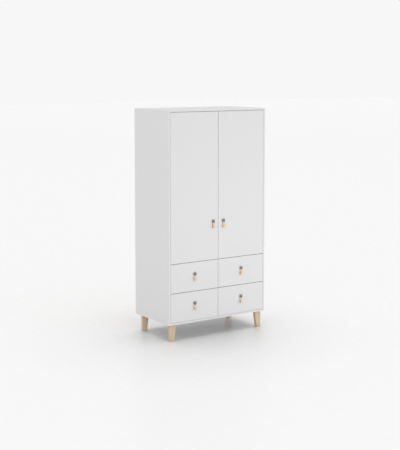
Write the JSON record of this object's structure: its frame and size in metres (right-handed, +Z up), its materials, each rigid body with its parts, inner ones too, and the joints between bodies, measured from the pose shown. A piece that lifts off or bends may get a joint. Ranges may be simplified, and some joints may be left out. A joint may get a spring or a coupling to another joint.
{
  "type": "wardrobe with doors",
  "caption": "Tall white wardrobe with inset doors over inset drawers, tapered wooden legs, looped leather pulls held by dark domed buttons, and a hat shelf and clothes rail inside.",
  "frame": {"origin": "on the floor, under the middle of the whole size including the pulls", "axes": "+Z up, the doors and drawers face -Y, +X to the right of a person who faces the doors"},
  "size_m": [1, 0.566, 1.945],
  "materials": {
    "white_board": "matt white melamine-faced board with matching edging",
    "back_board": "white-faced thin fibreboard",
    "drawer_board": "white-faced board",
    "pale_oak": "pale solid wood with a clear matt oil",
    "tan_leather": "natural vegetable-tanned leather",
    "dark_metal": "dark grey satin",
    "rail_chrome": "bright plated",
    "plated_steel": "zinc plated",
    "cast_zinc": "cast zinc",
    "nickel_steel": "nickel plated",
    "runner_steel": "bright zinc plated",
    "white_plastic": "matt white"
  },
  "bodies": {
    "carcass": {"side_panel_left": "white_board", "side_panel_right": "white_board", "top_panel": "white_board", "bottom_panel": "white_board", "middle_shelf": "white_board", "drawer_partition": "white_board", "hat_shelf": "white_board", "back_panel_left": "back_board", "back_panel_right": "back_board", "back_joining_strip": "white_plastic", "clothes_rail": "rail_chrome", "rail_sockets": "rail_chrome", "shelf_pins": "plated_steel", "cam_fittings": "cast_zinc", "leg_bolts": "plated_steel", "wall_brackets": "plated_steel", "leg_front_left": "pale_oak", "leg_front_right": "pale_oak", "leg_back_left": "pale_oak", "leg_back_right": "pale_oak", "hinge_arms": "nickel_steel", "runner_outer_members": "runner_steel"},
    "door_left": {"door_left": "white_board", "hinge_cups_left": "nickel_steel", "pull_strap_door_left": "tan_leather", "pull_button_door_left": "dark_metal"},
    "hinge_links_left": {"hinge_links_left": "nickel_steel"},
    "door_right": {"door_right": "white_board", "hinge_cups_right": "nickel_steel", "pull_strap_door_right": "tan_leather", "pull_button_door_right": "dark_metal"},
    "hinge_links_right": {"hinge_links_right": "nickel_steel"},
    "lower_drawer_left": {"lower_drawer_front_left": "white_board", "lower_drawer_box_left": "drawer_board", "lower_drawer_bottom_left": "back_board", "lower_drawer_runner_inner_left": "runner_steel", "pull_strap_lower_drawer_left": "tan_leather", "pull_button_lower_drawer_left": "dark_metal"},
    "lower_drawer_runner_left": {"lower_drawer_runner_middle_left": "runner_steel"},
    "lower_drawer_right": {"lower_drawer_front_right": "white_board", "lower_drawer_box_right": "drawer_board", "lower_drawer_bottom_right": "back_board", "lower_drawer_runner_inner_right": "runner_steel", "pull_strap_lower_drawer_right": "tan_leather", "pull_button_lower_drawer_right": "dark_metal"},
    "lower_drawer_runner_right": {"lower_drawer_runner_middle_right": "runner_steel"},
    "upper_drawer_left": {"upper_drawer_front_left": "white_board", "upper_drawer_box_left": "drawer_board", "upper_drawer_bottom_left": "back_board", "upper_drawer_runner_inner_left": "runner_steel", "pull_strap_upper_drawer_left": "tan_leather", "pull_button_upper_drawer_left": "dark_metal"},
    "upper_drawer_runner_left": {"upper_drawer_runner_middle_left": "runner_steel"},
    "upper_drawer_right": {"upper_drawer_front_right": "white_board", "upper_drawer_box_right": "drawer_board", "upper_drawer_bottom_right": "back_board", "upper_drawer_runner_inner_right": "runner_steel", "pull_strap_upper_drawer_right": "tan_leather", "pull_button_upper_drawer_right": "dark_metal"},
    "upper_drawer_runner_right": {"upper_drawer_runner_middle_right": "runner_steel"}
  },
  "joints": [
    {"name": "door_left_hinge", "type": "hinge", "parent": "carcass", "child": "door_left", "pos_m": [-0.483, -0.262, 1.2945], "axis": [0, 0, -1], "range_deg": [0, 110]},
    {"name": "hinge_links_left_turn", "type": "hinge", "parent": "carcass", "child": "hinge_links_left", "pos_m": [-0.483, -0.262, 1.2945], "axis": [0, 0, -1], "range_deg": [0, 55]},
    {"name": "door_right_hinge", "type": "hinge", "parent": "carcass", "child": "door_right", "pos_m": [0.483, -0.262, 1.2945], "axis": [0, 0, 1], "range_deg": [0, 110]},
    {"name": "hinge_links_right_turn", "type": "hinge", "parent": "carcass", "child": "hinge_links_right", "pos_m": [0.483, -0.262, 1.2945], "axis": [0, 0, 1], "range_deg": [0, 55]},
    {"name": "lower_drawer_left_slide", "type": "slide", "parent": "carcass", "child": "lower_drawer_left", "axis": [0, -1, 0], "range_m": [0, 0.4]},
    {"name": "lower_drawer_runner_left_slide", "type": "slide", "parent": "carcass", "child": "lower_drawer_runner_left", "axis": [0, -1, 0], "range_m": [0, 0.2]},
    {"name": "lower_drawer_right_slide", "type": "slide", "parent": "carcass", "child": "lower_drawer_right", "axis": [0, -1, 0], "range_m": [0, 0.4]},
    {"name": "lower_drawer_runner_right_slide", "type": "slide", "parent": "carcass", "child": "lower_drawer_runner_right", "axis": [0, -1, 0], "range_m": [0, 0.2]},
    {"name": "upper_drawer_left_slide", "type": "slide", "parent": "carcass", "child": "upper_drawer_left", "axis": [0, -1, 0], "range_m": [0, 0.4]},
    {"name": "upper_drawer_runner_left_slide", "type": "slide", "parent": "carcass", "child": "upper_drawer_runner_left", "axis": [0, -1, 0], "range_m": [0, 0.2]},
    {"name": "upper_drawer_right_slide", "type": "slide", "parent": "carcass", "child": "upper_drawer_right", "axis": [0, -1, 0], "range_m": [0, 0.4]},
    {"name": "upper_drawer_runner_right_slide", "type": "slide", "parent": "carcass", "child": "upper_drawer_runner_right", "axis": [0, -1, 0], "range_m": [0, 0.2]}
  ],
  "couplings": [
    {"joint": "hinge_links_left_turn", "follows": "door_left_hinge", "ratio": 0.5},
    {"joint": "hinge_links_right_turn", "follows": "door_right_hinge", "ratio": 0.5},
    {"joint": "lower_drawer_runner_left_slide", "follows": "lower_drawer_left_slide", "ratio": 0.5},
    {"joint": "lower_drawer_runner_right_slide", "follows": "lower_drawer_right_slide", "ratio": 0.5},
    {"joint": "upper_drawer_runner_left_slide", "follows": "upper_drawer_left_slide", "ratio": 0.5},
    {"joint": "upper_drawer_runner_right_slide", "follows": "upper_drawer_right_slide", "ratio": 0.5}
  ]
}
